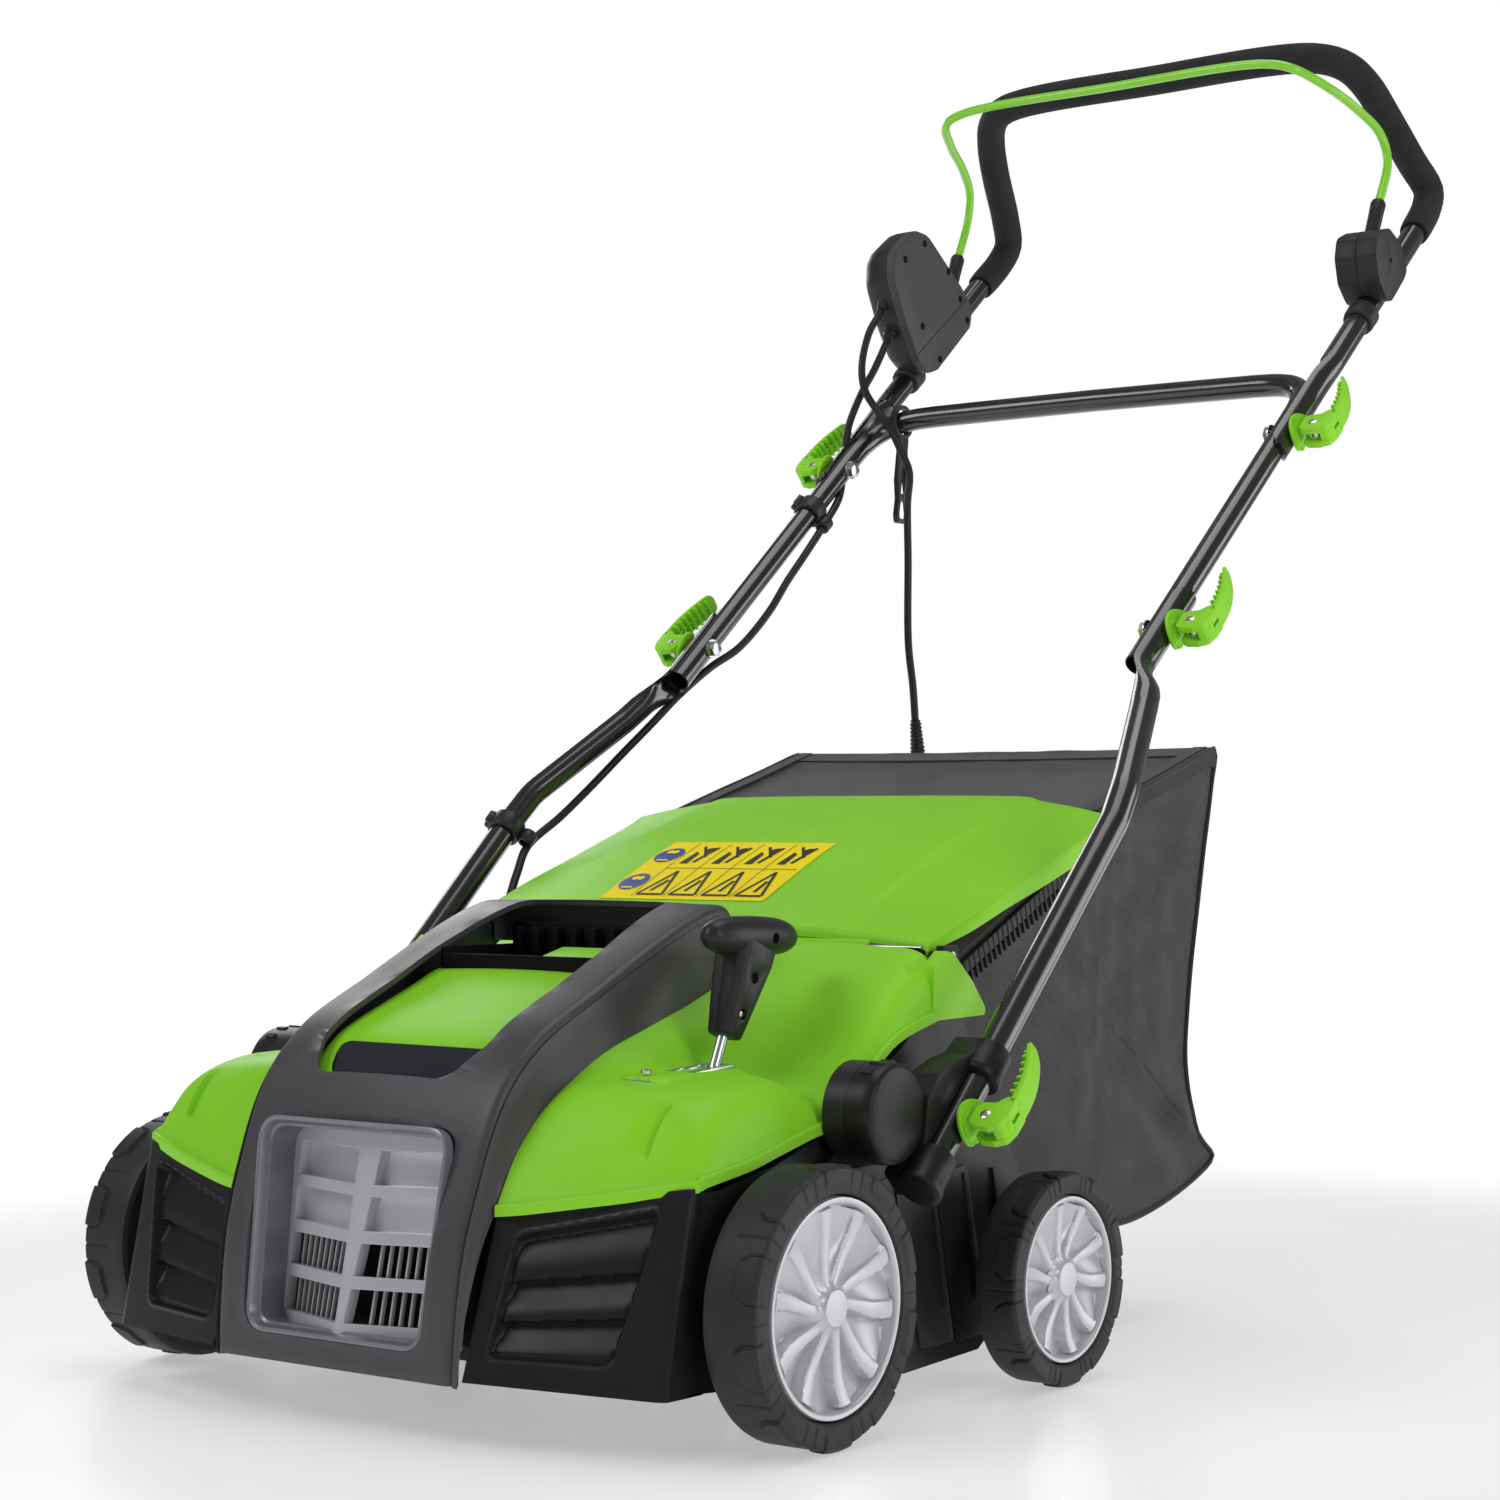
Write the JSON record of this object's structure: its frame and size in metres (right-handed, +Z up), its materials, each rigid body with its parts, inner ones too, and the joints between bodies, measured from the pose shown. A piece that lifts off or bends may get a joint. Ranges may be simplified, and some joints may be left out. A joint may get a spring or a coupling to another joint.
{
  "type": "lawn dethatcher",
  "caption": "Electric lawn dethatcher on wheels: deck with a belt-driven tine reel, folding tube handle with a bail, hinged discharge flap and mesh collection bag.",
  "frame": {"origin": "the middle of the footprint, on the ground under the wheels", "axes": "+Z up; -Y towards the nose, +Y towards the handle and the bag; +X towards the operator's left side, where the depth lever is"},
  "size_m": [0.6742, 1.2006, 1.1037],
  "materials": {
    "deck_plastic": "fine-grained moulded",
    "green_plastic": "satin-gloss moulded",
    "hood_plastic": "fine-grained moulded",
    "silver_plastic": "satin, silver pigmented",
    "badge_gloss": "glossy, blank",
    "steel": "zinc plated",
    "motor_steel": "semi-gloss",
    "belt_rubber": "matt",
    "reel_paint": "satin",
    "tread_plastic": "matt moulded",
    "grip_plastic": "fine-grained moulded",
    "tube_paint": "glossy powder coat",
    "foam": "closed-cell foam, matt",
    "switch_plastic": "fine-grained moulded",
    "button_plastic": "glossy",
    "green_wire": "coated wire",
    "bag_mesh": "knitted mesh",
    "clip_plastic": "moulded, ribbed",
    "cable_rubber": "satin sheath"
  },
  "bodies": {
    "deck": {"deck_shell": "deck_plastic", "bumpers": "deck_plastic", "top_cover": "green_plastic", "front_hood": "hood_plastic", "grille": "silver_plastic", "hood_panel": "green_plastic", "badge_plate": "badge_gloss", "lever_plate": "steel", "deck_fasteners": "steel", "motor_can": "motor_steel", "drive_belt": "belt_rubber", "reel_bearings": "steel", "rear_axle": "steel", "flap_rod": "steel", "flap_spring": "steel"},
    "front_axle_set": {"front_axle": "steel", "lever_grip": "grip_plastic"},
    "front_left_wheel_set": {"front_left_wheel": "tread_plastic", "front_left_hub_cap": "silver_plastic"},
    "front_right_wheel_set": {"front_right_wheel": "tread_plastic", "front_right_hub_cap": "silver_plastic"},
    "rear_left_wheel_set": {"rear_left_wheel": "tread_plastic", "rear_left_hub_cap": "silver_plastic"},
    "rear_right_wheel_set": {"rear_right_wheel": "tread_plastic", "rear_right_hub_cap": "silver_plastic"},
    "reel": {"reel_shaft": "reel_paint", "tine_holders": "reel_paint", "spring_tines": "steel"},
    "motor_rotor": {"motor_shaft": "steel"},
    "flap": {"rear_flap": "green_plastic"},
    "bag": {"bag_shell": "bag_mesh", "bag_clips": "clip_plastic"},
    "legs": {"leg_brackets": "grip_plastic", "lower_legs": "tube_paint", "leg_clamp_bolts": "steel", "leg_saddles": "green_plastic", "lower_cable_clip": "clip_plastic", "motor_cable_lower": "cable_rubber"},
    "middle": {"middle_frame": "tube_paint", "upper_cable_clip": "clip_plastic", "motor_cable_middle": "cable_rubber", "supply_cord": "cable_rubber", "supply_plug": "cable_rubber"},
    "handle": {"upper_handle": "tube_paint", "foam_grip": "foam", "handle_clamp_bolts": "steel", "handle_saddles": "green_plastic", "switch_box": "switch_plastic", "switch_lid": "switch_plastic", "pivot_housing": "switch_plastic", "motor_cable_upper": "cable_rubber"},
    "bail": {"bail_rod": "green_wire"},
    "button": {"start_button": "button_plastic"},
    "hook": {"cord_hook": "clip_plastic"},
    "left_deck_cam": {"left_deck_cam_lever": "green_plastic"},
    "right_deck_cam": {"right_deck_cam_lever": "green_plastic"},
    "left_lower_cam": {"left_lower_cam_lever": "green_plastic"},
    "right_lower_cam": {"right_lower_cam_lever": "green_plastic"},
    "left_upper_cam": {"left_upper_cam_lever": "green_plastic"},
    "right_upper_cam": {"right_upper_cam_lever": "green_plastic"}
  },
  "joints": [
    {"name": "depth_lever", "type": "hinge", "parent": "deck", "child": "front_axle_set", "pos_m": [0, -0.478, 0.1], "axis": [1, 0, 0], "range_deg": [0, 24.5]},
    {"name": "front_left_wheel_spin", "type": "hinge", "parent": "front_axle_set", "child": "front_left_wheel_set", "pos_m": [0.284, -0.456, 0.09], "axis": [1, 0, 0], "continuous": true},
    {"name": "front_right_wheel_spin", "type": "hinge", "parent": "front_axle_set", "child": "front_right_wheel_set", "pos_m": [-0.284, -0.456, 0.09], "axis": [1, 0, 0], "continuous": true},
    {"name": "rear_left_wheel_spin", "type": "hinge", "parent": "deck", "child": "rear_left_wheel_set", "pos_m": [0.284, -0.177, 0.075], "axis": [1, 0, 0], "continuous": true},
    {"name": "rear_right_wheel_spin", "type": "hinge", "parent": "deck", "child": "rear_right_wheel_set", "pos_m": [-0.284, -0.177, 0.075], "axis": [1, 0, 0], "continuous": true},
    {"name": "reel_spin", "type": "hinge", "parent": "deck", "child": "reel", "pos_m": [0, -0.334, 0.068], "axis": [1, 0, 0], "continuous": true, "deforming": ["drive_belt"]},
    {"name": "motor_spin", "type": "hinge", "parent": "deck", "child": "motor_rotor", "pos_m": [0, -0.424, 0.175], "axis": [1, 0, 0], "continuous": true},
    {"name": "flap_hinge", "type": "hinge", "parent": "deck", "child": "flap", "pos_m": [0, -0.238, 0.302], "axis": [1, 0, 0], "range_deg": [0, 60], "stiffness_Nm_per_rad": 1, "springref_deg": -20.05, "deforming": ["flap_spring"]},
    {"name": "bag_slide", "type": "slide", "parent": "deck", "child": "bag", "axis": [0, 1, 0], "range_m": [0, 0.07]},
    {"name": "leg_fold", "type": "hinge", "parent": "deck", "child": "legs", "pos_m": [0, -0.367, 0.204], "axis": [1, 0, 0], "range_deg": [0, 95], "deforming": ["motor_cable_lower"]},
    {"name": "middle_fold", "type": "hinge", "parent": "legs", "child": "middle", "pos_m": [0, 0.086, 0.546], "axis": [1, 0, 0], "range_deg": [0, 100], "deforming": ["motor_cable_lower", "motor_cable_middle", "supply_cord"]},
    {"name": "upper_fold", "type": "hinge", "parent": "middle", "child": "handle", "pos_m": [0, 0.296, 0.722], "axis": [1, 0, 0], "range_deg": [0, 130], "deforming": ["motor_cable_upper", "motor_cable_middle", "supply_cord"]},
    {"name": "bail_squeeze", "type": "hinge", "parent": "handle", "child": "bail", "pos_m": [0, 0.461, 0.885], "axis": [-1, 0, 0], "range_deg": [0, 18], "stiffness_Nm_per_rad": 3, "springref_deg": -11.46},
    {"name": "start_press", "type": "slide", "parent": "handle", "child": "button", "axis": [1, 0, 0], "range_m": [0, 0.004], "stiffness_N_per_m": 300, "springref_m": -0.003},
    {"name": "hook_swing", "type": "hinge", "parent": "middle", "child": "hook", "pos_m": [-0.203, 0.3586, 0.7718], "axis": [1, 0, 0], "range_deg": [-12, 12]},
    {"name": "left_deck_cam_turn", "type": "hinge", "parent": "legs", "child": "left_deck_cam", "pos_m": [0.3195, -0.304, 0.1945], "axis": [0, 0.6428, -0.766], "range_deg": [0, 105]},
    {"name": "right_deck_cam_turn", "type": "hinge", "parent": "legs", "child": "right_deck_cam", "pos_m": [-0.3195, -0.304, 0.1945], "axis": [0, -0.6428, 0.766], "range_deg": [0, 105]},
    {"name": "left_lower_cam_turn", "type": "hinge", "parent": "legs", "child": "left_lower_cam", "pos_m": [0.2585, 0.086, 0.546], "axis": [0, 0.6428, -0.766], "range_deg": [0, 105]},
    {"name": "right_lower_cam_turn", "type": "hinge", "parent": "legs", "child": "right_lower_cam", "pos_m": [-0.2585, 0.086, 0.546], "axis": [0, -0.6428, 0.766], "range_deg": [0, 105]},
    {"name": "left_upper_cam_turn", "type": "hinge", "parent": "handle", "child": "left_upper_cam", "pos_m": [0.2585, 0.296, 0.722], "axis": [0, 0.6428, -0.766], "range_deg": [0, 105]},
    {"name": "right_upper_cam_turn", "type": "hinge", "parent": "handle", "child": "right_upper_cam", "pos_m": [-0.2585, 0.296, 0.722], "axis": [0, -0.6428, 0.766], "range_deg": [0, 105]}
  ],
  "couplings": [
    {"joint": "motor_spin", "follows": "reel_spin", "ratio": 2.2857}
  ]
}
